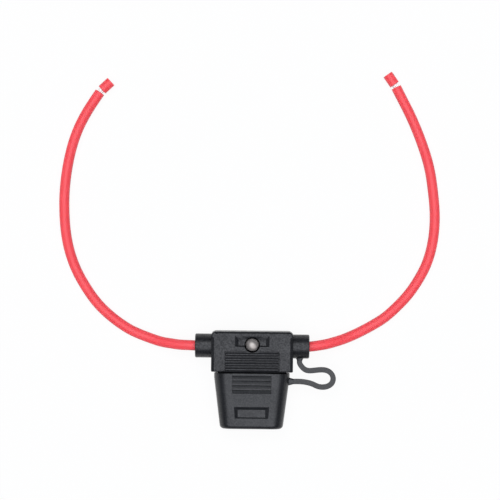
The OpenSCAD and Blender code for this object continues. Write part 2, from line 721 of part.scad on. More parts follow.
module fuse_body() {
    hw = fuse_w / 2;
    r = 0.8;
    low_t = fuse_t / 2 - fuse_shoulder;
    slot = blade_t / 2 + blade_fit;
    blades_hw = blade_pitch / 2 + blade_w / 2 + blade_fit;
    head = concat([[hw, fuse_top + fuse_head_h], [-hw, fuse_top + fuse_head_h]],
        arc([r - hw, fuse_top + r], r, 180, 270, 4), arc([hw - r, fuse_top + r], r, 270, 360, 4));
    color([0.95, 0.75, 0.1]) difference() {
        union() {
            translate([0, 0, axis_z - fuse_t / 2]) linear_extrude(fuse_t) polygon(head);
            box([-fuse_low_hw, fuse_low_hw], [fuse_top + fuse_head_h - 1, fuse_low],
                [axis_z - low_t, axis_z + low_t]);
        }
        // Slot that the element sits in, and the hollow round its bridge
        box([-blades_hw, blades_hw], [fuse_top + 2.3 - blade_fit, fuse_low + past],
            [axis_z - slot, axis_z + slot]);
        box([-2, 2], [fuse_low - fuse_h / 2 - 1.2, fuse_low - 1.5], [axis_z - 1.3, axis_z + 1.3]);
        // Openings in the head for a test probe
        for (s = [-1, 1]) translate([s * blade_pitch / 2, 0, axis_z])
            box([-0.9, 0.9], [fuse_top - past, fuse_top + 2.4], [-0.5, 0.5]);
    }
}

housing();
socket_block();
cap();
tether_strap();
led_lens();
led_cathode();
led_anode();
resistor_body();
resistor_inner_lead();
resistor_outer_lead();
left_terminal();
right_terminal();
left_crimped_strands();
right_crimped_strands();
left_lead();
right_lead();
left_bare_strands();
right_bare_strands();
left_insulation_slug();
right_insulation_slug();
fuse_body();
fuse_element();
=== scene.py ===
# %% [markdown]
# # An inline fuse holder on a white table
# The holder is a moulded black housing with a cap that pulls off downwards, a small light in
# its front face and a red wire out of each side. Its solids come from the CAD model, in metres
# and in their final places. This lesson dresses them: it rounds their edges, gives each one a
# finish, and remakes the pieces that bend, which are the wires, their strands and the strap.

# %% Load the CAD model
import math

import bmesh
import bpy
import numpy as np
from mathutils import Matrix, Vector


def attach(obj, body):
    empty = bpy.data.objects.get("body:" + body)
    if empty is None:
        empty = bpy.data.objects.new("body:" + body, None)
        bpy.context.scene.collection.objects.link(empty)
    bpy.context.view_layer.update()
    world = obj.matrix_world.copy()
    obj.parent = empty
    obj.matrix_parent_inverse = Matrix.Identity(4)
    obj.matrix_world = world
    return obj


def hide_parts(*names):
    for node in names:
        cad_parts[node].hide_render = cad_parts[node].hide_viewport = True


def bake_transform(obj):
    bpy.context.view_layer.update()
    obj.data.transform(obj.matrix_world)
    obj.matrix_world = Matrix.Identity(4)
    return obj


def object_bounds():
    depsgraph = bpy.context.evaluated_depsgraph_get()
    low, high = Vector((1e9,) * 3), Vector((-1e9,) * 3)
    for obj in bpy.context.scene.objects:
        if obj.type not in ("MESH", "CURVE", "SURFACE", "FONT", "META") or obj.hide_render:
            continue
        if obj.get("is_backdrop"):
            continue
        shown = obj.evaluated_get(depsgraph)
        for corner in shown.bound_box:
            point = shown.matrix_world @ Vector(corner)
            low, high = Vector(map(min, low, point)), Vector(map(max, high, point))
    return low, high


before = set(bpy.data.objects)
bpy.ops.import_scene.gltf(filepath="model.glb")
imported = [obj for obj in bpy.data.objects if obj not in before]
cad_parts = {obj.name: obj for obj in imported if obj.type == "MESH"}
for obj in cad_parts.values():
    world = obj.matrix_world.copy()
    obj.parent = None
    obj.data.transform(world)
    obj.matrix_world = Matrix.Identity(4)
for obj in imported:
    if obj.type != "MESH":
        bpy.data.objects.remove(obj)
cad_bounds = [list(corner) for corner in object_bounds()]
mm = 0.001

# %% [markdown]
# ## Camera
# The photograph was taken from straight above. A long lens a good distance away keeps the sides
# of the housing from showing, so the camera stands 800 mm over the middle of the holder's
# thickness and sees a field 200 mm wide. The object was turned a little on the table, and
# turning the camera by the same small angle is simpler than turning every piece.

# %% Set up the overhead camera
half_thickness = 7.0 * mm
field_width = 200.0 * mm
camera_height = 800.0 * mm
sensor_width = 36.0

camera_data = bpy.data.cameras.new("overhead_camera")
camera_data.sensor_width = sensor_width
camera_data.lens = sensor_width * camera_height / field_width
camera_data.clip_start = 0.01
camera_data.clip_end = 20.0
camera = bpy.data.objects.new("overhead_camera", camera_data)
camera.location = (-1.31 * mm, 38.39 * mm, half_thickness + camera_height)
camera.rotation_euler = (0.0, 0.0, math.radians(0.64))
bpy.context.scene.collection.objects.link(camera)
bpy.context.scene.camera = camera
print("lens", round(camera_data.lens, 1), "mm")

# %% [markdown]
# ## The two wires
# Each lead is one length of thick automotive wire, crimped inside the housing. It leaves its
# sleeve straight, sinks to the table within a few centimetres and swings round in a stiff open
# curve. The points below are the same ones that the CAD model follows. A curve through them
# that is smooth in its slope and its bend looks like wire; straight pieces between them do not.
# A natural cubic spline does that with one small set of equations, so NumPy draws it.

# %% The route of each lead, in millimetres
wire_diameter = 4.1
wire_on_table = wire_diameter / 2
sleeve_mouth = 22.8
stripped_at = 15.2
lead_routes = {
    "left": [
        (-stripped_at, 0, 7), (-sleeve_mouth, 0, 7), (-26, 0.1, 6.8), (-29, 0.2, 6.2),
        (-32.5, 0.6, 5.1), (-36, 1.1, 3.9), (-40, 2.2, 2.8), (-44, 3.6, 2.2), (-48.5, 5.5, 2.05),
        (-53, 8.2, 2.05), (-58, 12, 2.05), (-63, 17, 2.05), (-67, 22.5, 2.05),
        (-70.5, 28.5, 2.05), (-73.2, 35, 2.05), (-75.2, 43, 2.05), (-76.1, 51.5, 2.05),
        (-76.2, 60, 2.05), (-75.4, 69, 2.05), (-73.8, 77.5, 2.05), (-71.3, 85.5, 2.05),
        (-68.2, 92, 2.05), (-64.8, 97.6, 2.05), (-62.4, 101.2, 2.05),
    ],
    "right": [
        (stripped_at, 0, 7), (sleeve_mouth, 0, 7), (26, 0.4, 6.8), (29.5, 1, 6.1),
        (33, 1.9, 5), (36.5, 3, 3.8), (40, 4.4, 2.8), (44, 6.3, 2.2), (48.5, 8.8, 2.05),
        (53, 11.7, 2.05), (57.5, 15.7, 2.05), (62, 20.5, 2.05), (66, 26.2, 2.05),
        (69.3, 32.4, 2.05), (71.5, 39.2, 2.05), (72.7, 47, 2.05), (72.8, 55, 2.05),
        (72, 63, 2.05), (70.5, 72, 2.05), (68.1, 80, 2.05), (65.2, 87.5, 2.05),
        (61.9, 94.7, 2.05), (58.6, 101, 2.05), (56.8, 104.5, 2.05),
    ],
}


def spline_through(points, step):
    """Points about one step apart on the natural cubic spline through the given ones."""
    p = np.array(points, float)
    n = len(p)
    s = np.concatenate([[0], np.cumsum(np.linalg.norm(np.diff(p, axis=0), axis=1))])
    h = np.diff(s)
    a = np.eye(n)
    b = np.zeros((n, 3))
    for i in range(1, n - 1):
        a[i, i - 1:i + 2] = h[i - 1], 2 * (h[i - 1] + h[i]), h[i]
        b[i] = 6 * ((p[i + 1] - p[i]) / h[i] - (p[i] - p[i - 1]) / h[i - 1])
    m = np.linalg.solve(a, b)
    t = np.linspace(0, s[-1], int(round(s[-1] / step)) + 1)
    k = np.clip(np.searchsorted(s, t, side="right") - 1, 0, n - 2)
    u, v, w = (t - s[k])[:, None], (s[k + 1] - t)[:, None], h[k][:, None]
    return ((m[k] * v**3 + m[k + 1] * u**3) / (6 * w)
            + (p[k] / w - m[k] * w / 6) * v + (p[k + 1] / w - m[k + 1] * w / 6) * u)


lead_lines = {}
for side, route in lead_routes.items():
    line = spline_through(route, 1.0)
    line[:, 2] = np.maximum(line[:, 2], wire_on_table)
    lead_lines[side] = line
    print(side, "lead:", round(float(np.linalg.norm(np.diff(line, axis=0), axis=1).sum()), 1), "mm")

# %% [markdown]
# The insulation is a tube round that line. It needs a real end, because the photograph shows
# where it was cut: the tube turns in at its edge, goes a little way back inside, and closes
# there. A ring of points is carried along the line and stays upright, so that the tube does
# not twist, and every ring is joined to the next.

# %% Helpers that build a mesh from rings
def new_piece(name, vertices, faces):
    """A mesh object in metres from points in millimetres."""
    mesh = bpy.data.meshes.new(name)
    mesh.from_pydata([tuple(c * mm for c in v) for v in vertices], [], faces)
    mesh.update()
    piece = bpy.data.objects.new(name, mesh)
    bpy.context.scene.collection.objects.link(piece)
    return piece


def join_rings(count, sides):
    """Faces between rings of points, with both ends closed."""
    faces = []
    for i in range(count - 1):
        for j in range(sides):
            k = (j + 1) % sides
            faces.append((i * sides + j, i * sides + k, (i + 1) * sides + k, (i + 1) * sides + j))
    faces.append(tuple(range(sides - 1, -1, -1)))
    faces.append(tuple((count - 1) * sides + j for j in range(sides)))
    return faces


def face_outwards(piece):
    """Turns all the faces of a closed piece outwards."""
    shape = bmesh.new()
    shape.from_mesh(piece.data)
    bmesh.ops.recalc_face_normals(shape, faces=shape.faces)
    shape.to_mesh(piece.data)
    shape.free()
    return piece


def smooth_piece(piece, sharp_angle):
    """Smooth shading, with a crease where faces meet at more than the angle."""
    piece.data.shade_smooth()
    piece.data.set_sharp_from_angle(angle=math.radians(sharp_angle))
    return piece


# %% The insulation of each lead
def insulation(name, line, radius, bore, sides=32):
    tangents = np.gradient(line, axis=0)
    tangents /= np.linalg.norm(tangents, axis=1)[:, None]
    recess = 0.9
    stations = [(line[i], tangents[i], radius) for i in range(len(line) - 1)]
    end, way = line[-1], tangents[-1]
    stations += [
        (end - way * 0.12, way, radius), (end - way * 0.03, way, radius - 0.04),
        (end, way, radius - 0.14), (end, way, bore + 0.06),
        (end - way * 0.05, way, bore), (end - way * recess, way, bore),
    ]
    points = []
    for centre, along, r in stations:
        across = np.cross([0, 0, 1], along)
        across /= np.linalg.norm(across)
        up = np.cross(along, across)
        for j in range(sides):
            a = 2 * math.pi * j / sides
            points.append(centre + r * (math.cos(a) * across + math.sin(a) * up))
    piece = new_piece(name, points, join_rings(len(stations), sides))
    return smooth_piece(face_outwards(piece), 50)


strand_bundle = 2.4
leads = {}
for side, line in lead_lines.items():
    leads[side] = insulation(side + "_insulation", line, wire_diameter / 2, strand_bundle / 2)
    print(leads[side].name, len(leads[side].data.polygons), "faces")

# %% [markdown]
# ## The strands
# Where the insulation was cut and pushed along, the tinned strands show: nineteen thin wires,
# laid as one, six and twelve and twisted together. They repeat and they follow a rule, which is
# work for Geometry Nodes. The tree stands straight wires on three rings, turns each point round
# the middle line in proportion to its place along it, and gives every wire its thickness.

# %% The stranded wire as a node tree
def link_in(tree, node, socket, value):
    """Puts a link or a plain value into a node's input."""
    if isinstance(value, bpy.types.NodeSocket):
        tree.links.new(value, node.inputs[socket])
    elif value is not None:
        node.inputs[socket].default_value = value


def add_node(tree, kind, settings=None, inputs=None):
    node = tree.nodes.new(kind)
    for name, value in (settings or {}).items():
        setattr(node, name, value)
    for socket, value in (inputs or {}).items():
        link_in(tree, node, socket, value)
    return node


def named_inputs(tree, sizes):
    """Inputs of a tree by name, each with its usual value."""
    tree.interface.new_socket("Geometry", in_out="INPUT", socket_type="NodeSocketGeometry")
    for name, value in sizes.items():
        socket = tree.interface.new_socket(name, in_out="INPUT", socket_type="NodeSocketFloat")
        socket.default_value = value
    tree.interface.new_socket("Material", in_out="INPUT", socket_type="NodeSocketMaterial")
    tree.interface.new_socket("Geometry", in_out="OUTPUT", socket_type="NodeSocketGeometry")
    return add_node(tree, "NodeGroupInput")


def finish_tree(tree, geometry, given):
    """Every tree ends in real geometry that carries its material."""
    real = add_node(tree, "GeometryNodeRealizeInstances", inputs={"Geometry": geometry})
    dyed = add_node(tree, "GeometryNodeSetMaterial",
                    inputs={"Geometry": real.outputs[0], "Material": given.outputs["Material"]})
    add_node(tree, "NodeGroupOutput", inputs={0: dyed.outputs[0]})
    return tree


def stranded_wire_tree():
    tree = bpy.data.node_groups.new("stranded_wire", "GeometryNodeTree")
    given = named_inputs(tree, {"Length": 7 * mm, "Strand Diameter": 0.48 * mm, "Twist": 1.5})
    ends = add_node(tree, "ShaderNodeCombineXYZ", inputs={"X": given.outputs["Length"]})
    straight = add_node(tree, "GeometryNodeCurvePrimitiveLine", inputs={"End": ends.outputs[0]})
    fine = add_node(tree, "GeometryNodeResampleCurve",
                    inputs={"Curve": straight.outputs[0], "Count": 16})
    rings = add_node(tree, "GeometryNodeJoinGeometry")
    for wires, step in ((6, 1.0), (12, 1.94)):
        radius = add_node(tree, "ShaderNodeMath", {"operation": "MULTIPLY"},
                          {0: given.outputs["Strand Diameter"], 1: step})
        ring = add_node(tree, "GeometryNodeMeshCircle",
                        inputs={"Vertices": wires, "Radius": radius.outputs[0]})
        tree.links.new(ring.outputs[0], rings.inputs[0])
    middle = add_node(tree, "GeometryNodeMeshLine", inputs={"Count": 1})
    tree.links.new(middle.outputs[0], rings.inputs[0])
    upright = add_node(tree, "GeometryNodeTransform",
                       inputs={"Geometry": rings.outputs[0],
                               "Rotation": (0, math.radians(90), 0)})
    wires = add_node(tree, "GeometryNodeInstanceOnPoints",
                     inputs={"Points": upright.outputs[0], "Instance": fine.outputs[0]})
    real = add_node(tree, "GeometryNodeRealizeInstances", inputs={"Geometry": wires.outputs[0]})
    place = add_node(tree, "GeometryNodeInputPosition")
    parts = add_node(tree, "ShaderNodeSeparateXYZ", inputs={0: place.outputs[0]})
    share = add_node(tree, "ShaderNodeMath", {"operation": "DIVIDE"},
                     {0: parts.outputs["X"], 1: given.outputs["Length"]})
    angle = add_node(tree, "ShaderNodeMath", {"operation": "MULTIPLY"},
                     {0: share.outputs[0], 1: given.outputs["Twist"]})
    turned = add_node(tree, "ShaderNodeVectorRotate", {"rotation_type": "X_AXIS"},
                      {"Vector": place.outputs[0], "Angle": angle.outputs[0]})
    laid = add_node(tree, "GeometryNodeSetPosition",
                    inputs={"Geometry": real.outputs[0], "Position": turned.outputs[0]})
    half = add_node(tree, "ShaderNodeMath", {"operation": "MULTIPLY"},
                    {0: given.outputs["Strand Diameter"], 1: 0.5})
    section = add_node(tree, "GeometryNodeCurvePrimitiveCircle",
                       inputs={"Resolution": 10, "Radius": half.outputs[0]})
    thick = add_node(tree, "GeometryNodeCurveToMesh",
                     inputs={"Curve": laid.outputs[0], "Profile Curve": section.outputs[0],
                             "Fill Caps": True})
    return finish_tree(tree, thick.outputs[0], given)


wire_tree = stranded_wire_tree()
print("tree", wire_tree.name, "with", len(wire_tree.nodes), "nodes")

# %% [markdown]
# A tree's result is turned into a plain mesh as soon as it is made, and the modifier goes with
# its helper object. What is left can be bent, placed and exported like any other piece.

# %% Bake a tree into a mesh
def baked(name, tree, sizes, material, source=None):
    """The result of a tree as a mesh object. Sizes go in by their inputs' identifiers."""
    holder = source or bpy.data.objects.new(name + "_source", bpy.data.meshes.new(name))
    if source is None:
        bpy.context.scene.collection.objects.link(holder)
    modifier = holder.modifiers.new("build", "NODES")
    modifier.node_group = tree
    for item in tree.interface.items_tree:
        if item.in_out == "INPUT" and item.name in sizes:
            modifier[item.identifier] = sizes[item.name]
        if item.in_out == "INPUT" and item.name == "Material":
            modifier[item.identifier] = material
    bpy.context.view_layer.update()
    seen = holder.evaluated_get(bpy.context.evaluated_depsgraph_get())
    mesh = bpy.data.meshes.new_from_object(seen)
    piece = bpy.data.objects.new(name, mesh)
    bpy.context.scene.collection.objects.link(piece)
    bpy.data.objects.remove(holder)
    if not mesh.materials:
        mesh.materials.append(material)
    return piece


# %% [markdown]
# ## Finishes
# A finish is a small sum of noises and colours. Written as node calls it would be hard to read,
# so one class wraps a socket and lets Python's own signs build the Math nodes, and another
# holds the material and adds any other node in one call.

# %% Shader values that can be added and multiplied
class Value:
    """The output of a node. Arithmetic on it adds Math nodes."""

    def __init__(self, finish, socket):
        self.finish = finish
        self.socket = socket

    def _with(self, operation, other, flipped=False):
        first, second = (other, self) if flipped else (self, other)
        return self.finish.add("ShaderNodeMath", {"operation": operation}, {0: first, 1: second})

    def __add__(self, other):
        return self._with("ADD", other)

    __radd__ = __add__

    def __sub__(self, other):
        return self._with("SUBTRACT", other)

    def __rsub__(self, other):
        return self._with("SUBTRACT", other, True)

    def __mul__(self, other):
        return self._with("MULTIPLY", other)

    __rmul__ = __mul__

    def __truediv__(self, other):
        return self._with("DIVIDE", other)

    def above(self, edge, softness):
        """0 below the edge and 1 above it, with a soft step between them."""
        return self.finish.add("ShaderNodeMapRange", {"interpolation_type": "SMOOTHSTEP"},
                               {"Value": self, "From Min": edge - softness,
                                "From Max": edge + softness})


class Finish:
    """A material, built from one surface shader and whatever feeds it."""

    def __init__(self, name, **plain):
        self.material = bpy.data.materials.new(name)
        self.material.use_nodes = True
        self.tree = self.material.node_tree
        self.tree.nodes.clear()
        self.shader = self.tree.nodes.new("ShaderNodeBsdfPrincipled")
        output = self.tree.nodes.new("ShaderNodeOutputMaterial")
        self.tree.links.new(self.shader.outputs[0], output.inputs["Surface"])
        for socket, value in plain.items():
            self.shader.inputs[socket.replace("_", " ")].default_value = value
        place = self.add("ShaderNodeTexCoord", output="Object")
        self.place = place

    def put(self, socket, value):
        if isinstance(value, Value):
            self.tree.links.new(value.socket, socket)
        else:
            socket.default_value = value

    def add(self, kind, settings=None, inputs=None, output=0):
        """Any other node: its settings first, then the values or links of its sockets."""
        node = self.tree.nodes.new(kind)
        for name, value in (settings or {}).items():
            if name == "stops":
                while len(node.color_ramp.elements) < len(value):
                    node.color_ramp.elements.new(1.0)
                for element, (position, colour) in zip(node.color_ramp.elements, value):
                    element.position, element.color = position, (*colour, 1)
            else:
                setattr(node, name, value)
        for name, value in (inputs or {}).items():
            self.put(node.inputs[name], value)
        return Value(self, node.outputs[output])

    def noise(self, size_mm, detail=2.0, roughness=0.5, stretch=(1, 1, 1)):
        """A noise whose lumps are about the given size."""
        where = self.add("ShaderNodeMapping", {"vector_type": "POINT"},
                         {"Vector": self.place, "Scale": stretch})
        return self.add("ShaderNodeTexNoise", {"noise_dimensions": "3D"},
                        {"Vector": where, "Scale": 1 / (size_mm * mm), "Detail": detail,
                         "Roughness": roughness})

    def mix(self, amount, first, second):
        """One colour turning into another."""
        pick = self.tree.nodes.new("ShaderNodeMix")
        pick.data_type = "RGBA"
        for socket, value in ((0, amount), (6, first), (7, second)):
            colour = value if isinstance(value, Value) or socket == 0 else (*value, 1)
            self.put(pick.inputs[socket], colour)
        return Value(self, pick.outputs[2])

    def relief(self, height, depth_mm, strength=1.0):
        """A bump of a given depth."""
        self.feed("Normal", self.add("ShaderNodeBump", None, {
            "Height": height, "Distance": depth_mm * mm, "Strength": strength}))

    def feed(self, socket, value):
        self.put(self.shader.inputs[socket], value)
        return self


print("finish helpers ready")

# %% [markdown]
# The housing, the cap and the strap are black nylon out of a mould with a fine eroded texture:
# satin, faintly cool, and more polished on the tops of its grain than in the hollows. Base colour
# and roughness drift over some millimetres. The texture is a bump of two sizes of grain, a quarter
# of a millimetre and just over half of one, with a thin coat on its high spots. The housing was moulded
# coarser than the cap, and the strap is softer and duller than both.

# %% Moulded black plastic
def moulded_plastic(name, colour, rough=0.34, depth_mm=0.03, shine=0.5, level=0.2):
    finish = Finish(name, Specular_IOR_Level=level, IOR=1.49, Coat_Roughness=0.3)
    drift = finish.noise(5.0, 3.0)
    mottle = finish.noise(0.6, 3.0, 0.6)
    grain = finish.noise(0.28, 2.0, 0.6)
    light = tuple(c * 1.5 for c in colour)
    dark = tuple(c * 0.6 for c in colour)
    finish.feed("Base Color", finish.mix(drift * 0.5 + mottle * 0.5, dark, light))
    finish.feed("Roughness", rough - 0.08 + drift * 0.06 + mottle * 0.12)
    polished = drift * 0.1 + mottle * 0.55 + grain * 0.35
    finish.feed("Coat Weight", polished.above(0.5, 0.11) * shine)
    finish.relief(grain * 0.45 + mottle * 0.55, depth_mm, 0.8)
    return finish.material


housing_plastic = moulded_plastic("coarse_black_plastic", (0.0105, 0.0112, 0.0135), 0.36, 0.035,
                                  0.6, 0.2)
cap_plastic = moulded_plastic("fine_black_plastic", (0.0105, 0.0115, 0.014), 0.34, 0.025,
                              0.4, 0.3)
strap_plastic = moulded_plastic("black_flexible_plastic", (0.024, 0.0245, 0.026), 0.42, 0.02,
                                0.2, 0.4)
core_plastic = moulded_plastic("dark_core_plastic", (0.03, 0.03, 0.033), 0.42)
for plastic in (housing_plastic, cap_plastic, strap_plastic, core_plastic):
    print(plastic.name)

# %% [markdown]
# The wire's insulation is soft red vinyl. It is extruded, so any unevenness is drawn out along
# the wire, and handling leaves it slightly dull in patches. It lets a little light in, which a
# touch of subsurface scattering gives.

# %% Red vinyl
def red_vinyl():
    finish = Finish("red_vinyl", Specular_IOR_Level=0.45, IOR=1.5, Subsurface_Weight=0.08,
                    Subsurface_Radius=(1.0, 0.2, 0.1), Subsurface_Scale=0.4 * mm)
    cloud = finish.noise(6.0, 3.0)
    fine = finish.noise(0.35, 3.0)
    finish.feed("Base Color", finish.mix(cloud * 0.7 + fine * 0.3, (0.90, 0.054, 0.070),
                                         (0.96, 0.090, 0.106)))
    finish.feed("Roughness", 0.36 + cloud * 0.16)
    finish.relief(fine * 0.6 + cloud * 0.4, 0.01, 0.35)
    return finish.material


red_insulation = red_vinyl()
print(red_insulation.name)

# %% [markdown]
# The metals differ in colour and in how they were worked: bright tin on the strands, drawn
# marks along the lead frame, rolling marks on the terminals' brass. Each is one function with
# a colour, a roughness and the direction of its marks.

# %% Metals
def worked_metal(name, colour, rough, marks=(1, 1, 1), spots=0.9, metallic=1.0):
    finish = Finish(name, Metallic=metallic)
    cloud = finish.noise(1.6, 3.0)
    lines = finish.noise(0.08, 2.0, 0.5, marks)
    dull = tuple(c * spots for c in colour)
    finish.feed("Base Color", finish.mix(cloud, dull, colour))
    finish.feed("Roughness", rough - 0.05 + cloud * 0.08 + lines * 0.08)
    finish.relief(lines, 0.004, 0.4)
    return finish.material


tinned_strands = worked_metal("tinned_strands", (0.95, 0.945, 0.93), 0.45, (0.2, 0.2, 1), 0.92,
                              0.5)
lead_frame_metal = worked_metal("lead_frame_tin", (0.95, 0.95, 0.94), 0.5, (1, 1, 0.1),
                                metallic=0.2)
contact_brass = worked_metal("contact_brass", (0.80, 0.68, 0.40), 0.3, (1, 0.12, 1), 0.85)
fuse_zinc = worked_metal("fuse_strip_metal", (0.72, 0.72, 0.7), 0.33, (1, 0.12, 1), 0.85)
print("four metals")

# %% [markdown]
# The light's lens is water-clear resin. Its colour holds a painted highlight, a bright oval a little
# off its middle where the lit reflector shows, and painted shade round that towards the rim. The fuse's
# body is a tinted clear plastic, amber here, because the photograph does not show it. The resistor
# wears the usual tan lacquer with bands, which are soft steps along its length.

# %% Resin, fuse plastic and resistor lacquer
def resin_with_painted_highlight():
    finish = Finish("lens_resin_painted_highlight", Transmission_Weight=0.4, IOR=1.5)
    smear_and_highlight_mottle = finish.noise(1.2, 2.0)
    highlight_oval = finish.add("ShaderNodeMapping", {"vector_type": "TEXTURE"},
                      {0: finish.place, 1: (0.15 * mm, 0.45 * mm, 0),
                       2: (0, 0, math.radians(-45)), 3: (1.25, 0.85, 1000)})
    radius = finish.add("ShaderNodeVectorMath", {"operation": "LENGTH"}, {0: highlight_oval},
                        output="Value")
    # painted highlight: a bright oval off the middle of the lens, where the lit reflector shows;
    # outside it the colour falls to grey, painted shade towards the rim
    painted_highlight_core = finish.mix(smear_and_highlight_mottle, (0.84, 0.75, 0.70), (1.0, 0.93, 0.88))
    finish.feed("Base Color", finish.mix(radius.above(1.2 * mm, 0.5 * mm), painted_highlight_core,
                                         (0.38, 0.355, 0.34)))
    finish.feed("Roughness", 0.03 + smear_and_highlight_mottle * 0.06)
    return finish.material


def fuse_plastic():
    finish = Finish("amber_fuse_plastic", Transmission_Weight=0.35, IOR=1.49)
    cloud = finish.noise(2.5, 3.0)
    fine = finish.noise(0.3, 2.0)
    finish.feed("Base Color", finish.mix(cloud, (0.80, 0.36, 0.03), (0.92, 0.48, 0.05)))
    finish.feed("Roughness", 0.22 + cloud * 0.1)
    finish.relief(fine, 0.006, 0.3)
    return finish.material


def resistor_lacquer():
    finish = Finish("resistor_lacquer", Coat_Weight=0.3, Coat_Roughness=0.2)
    along = finish.add("ShaderNodeSeparateXYZ", None, {0: finish.place})
    colour = finish.mix(finish.noise(0.6), (0.60, 0.47, 0.27), (0.68, 0.55, 0.33))
    for place_mm, band in ((-6.1, (0.25, 0.10, 0.04)), (-5.45, (0.35, 0.03, 0.03)),
                           (-4.85, (0.02, 0.02, 0.02)), (-4.1, (0.55, 0.38, 0.08))):
        inside = along.above((place_mm - 0.15) * mm, 0.02 * mm) * (
            1 - along.above((place_mm + 0.15) * mm, 0.02 * mm))
        colour = finish.mix(inside, colour, band)
    finish.feed("Base Color", colour)
    finish.feed("Roughness", 0.3 + finish.noise(0.8) * 0.15)
    return finish.material


lens_resin_painted_highlight, amber_plastic, lacquer = resin_with_painted_highlight(), fuse_plastic(), resistor_lacquer()
print(lens_resin_painted_highlight.name, amber_plastic.name, lacquer.name)

# %% [markdown]
# ## Dress the solids
# The CAD model's solids have the right shapes but knife edges. A real moulding has a radius of a
# few tenths of a millimetre wherever two faces meet, and that is what catches the light. Each
# solid is copied, its loose triangles are merged, flat areas become single faces, and a bevel
# rounds the edges. Weighted normals keep the flat faces flat in the shading.

# %% A rounded copy of a CAD solid
def rounded_copy(node, name, radius_mm, material, body="holder", segments=3, least=28,
                 refine=None):
    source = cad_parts[node]
    piece = bpy.data.objects.new(name, source.data.copy())
    bpy.context.scene.collection.objects.link(piece)
    shape = bmesh.new()
    shape.from_mesh(piece.data)
    bmesh.ops.remove_doubles(shape, verts=shape.verts, dist=0.002 * mm)
    bmesh.ops.dissolve_limit(shape, angle_limit=math.radians(0.6), verts=shape.verts,
                             edges=shape.edges, use_dissolve_boundaries=False)
    if refine:
        refine(shape)
    shape.to_mesh(piece.data)
    shape.free()
    piece.data.shade_smooth()
    piece.data.set_sharp_from_angle(angle=math.radians(60))
    if radius_mm:
        edge = piece.modifiers.new("edges", "BEVEL")
        edge.width = radius_mm * mm
        edge.segments = segments
        edge.limit_method = "ANGLE"
        edge.angle_limit = math.radians(least)
        edge.use_clamp_overlap = True
        edge.miter_outer = "MITER_ARC"
    flat = piece.modifiers.new("flat_faces", "WEIGHTED_NORMAL")
    flat.keep_sharp = True
    bpy.context.view_layer.update()
    seen = piece.evaluated_get(bpy.context.evaluated_depsgraph_get())
    finished = bpy.data.meshes.new_from_object(seen)
    piece.modifiers.clear()
    piece.data = finished
    finished.materials.clear()
    finished.materials.append(material)
    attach(piece, body)
    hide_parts(node)
    return piece


# %% [markdown]
# The line between the housing and the cap looks black, though plastic as smooth as this would
# mirror the sky even at the bottom of a gap. On the real mouldings the neck of the cap is
# undercut there, and the skirt's edge falls away. Both are shaped on the copies: a cut across
# the mesh adds a row of points, and a row of points is moved.

# %% Shape the two edges of the gap
lens_y = 0.7
lens_gap_radius = 3.1
axis_height = 7.0
neck_undercut = 0.55
neck_half_width, neck_half_thickness = 14.2, 4.6
collar_top, skirt_end = -10.7, -10.1


def ease_skirt_edge(shape):
    """The skirt's lower edge falls away over its last half millimetre."""
    run, drop = 0.5, 0.3
    whole = shape.verts[:] + shape.edges[:] + shape.faces[:]
    bmesh.ops.bisect_plane(shape, geom=whole, plane_co=(0, (skirt_end + run) * mm, 0),
                           plane_no=(0, 1, 0))
    for v in shape.verts:
        share = min(max((skirt_end + run - v.co.y / mm) / run, 0.0), 1.0)
        from_middle = v.co.z / mm - axis_height
        if share > 0 and abs(from_middle) > 6.3 and abs(v.co.x) < 16.5 * mm:
            v.co.z -= math.copysign(drop * share * mm, from_middle)


def undercut_neck(shape):
    """Draws in the ring of points at the foot of the neck, towards its middle line."""
    whole = shape.verts[:] + shape.edges[:] + shape.faces[:]
    bmesh.ops.bisect_plane(shape, geom=whole, plane_co=(0, (skirt_end + 0.05) * mm, 0),
                           plane_no=(0, 1, 0))
    straight = neck_half_width - neck_half_thickness
    moved = 0
    for v in shape.verts:
        x, z = v.co.x / mm, v.co.z / mm - axis_height
        centre = min(max(x, -straight), straight)
        out = Vector((x - centre, z))
        if abs(v.co.y - collar_top * mm) < 0.02 * mm and abs(
                out.length - neck_half_thickness) < 0.05:
            out.normalize()
            v.co.x -= out.x * neck_undercut * mm
            v.co.z -= out.y * neck_undercut * mm
            moved += 1
    print("neck:", moved, "points drawn in")


# %% Housing, cap and the core between them
dressed = [
    rounded_copy("housing", "moulded_housing", 0.16, housing_plastic,
                 refine=ease_skirt_edge),
    rounded_copy("cap", "moulded_cap", 0.14, cap_plastic, "cap",
                 refine=undercut_neck),
    rounded_copy("socket_block", "contact_block", 0.12, core_plastic),
]
for piece in dressed:
    print(piece.name, len(piece.data.polygons), "faces")

# %% [markdown]
# The bottoms of both gaps, round the light's lens and at the foot of the cap's neck, get a dull plastic
# of their own, on those faces only. Its colour is darker than the moulding's: painted shade where the
# gaps are deep.

# %% Painted shade: dull, darker plastic at the bottom of the gaps
def painted_gap_shade():
    finish = Finish("painted_gap_shade_plastic", Specular_IOR_Level=0.1, IOR=1.49)
    shade_speckle = finish.noise(0.5, 2.0)
    # painted shade: darker than the moulding's own colour, a little uneven
    finish.feed("Base Color", finish.mix(shade_speckle, (0.004, 0.004, 0.005), (0.008, 0.008, 0.009)))
    finish.feed("Roughness", 0.85 + shade_speckle * 0.1)
    return finish.material


def give_painted_shade(piece, material, at_bottom):
    """Gives the material to the faces all of whose points, in millimetres, pass the test."""
    piece.data.materials.append(material)
    points = [v.co / mm for v in piece.data.vertices]
    chosen = [f for f in piece.data.polygons if all(at_bottom(*points[i]) for i in f.vertices)]
    for face in chosen:
        face.material_index = 1
    print(piece.name, len(chosen), "dull faces")


shade_in_gaps_plastic = painted_gap_shade()
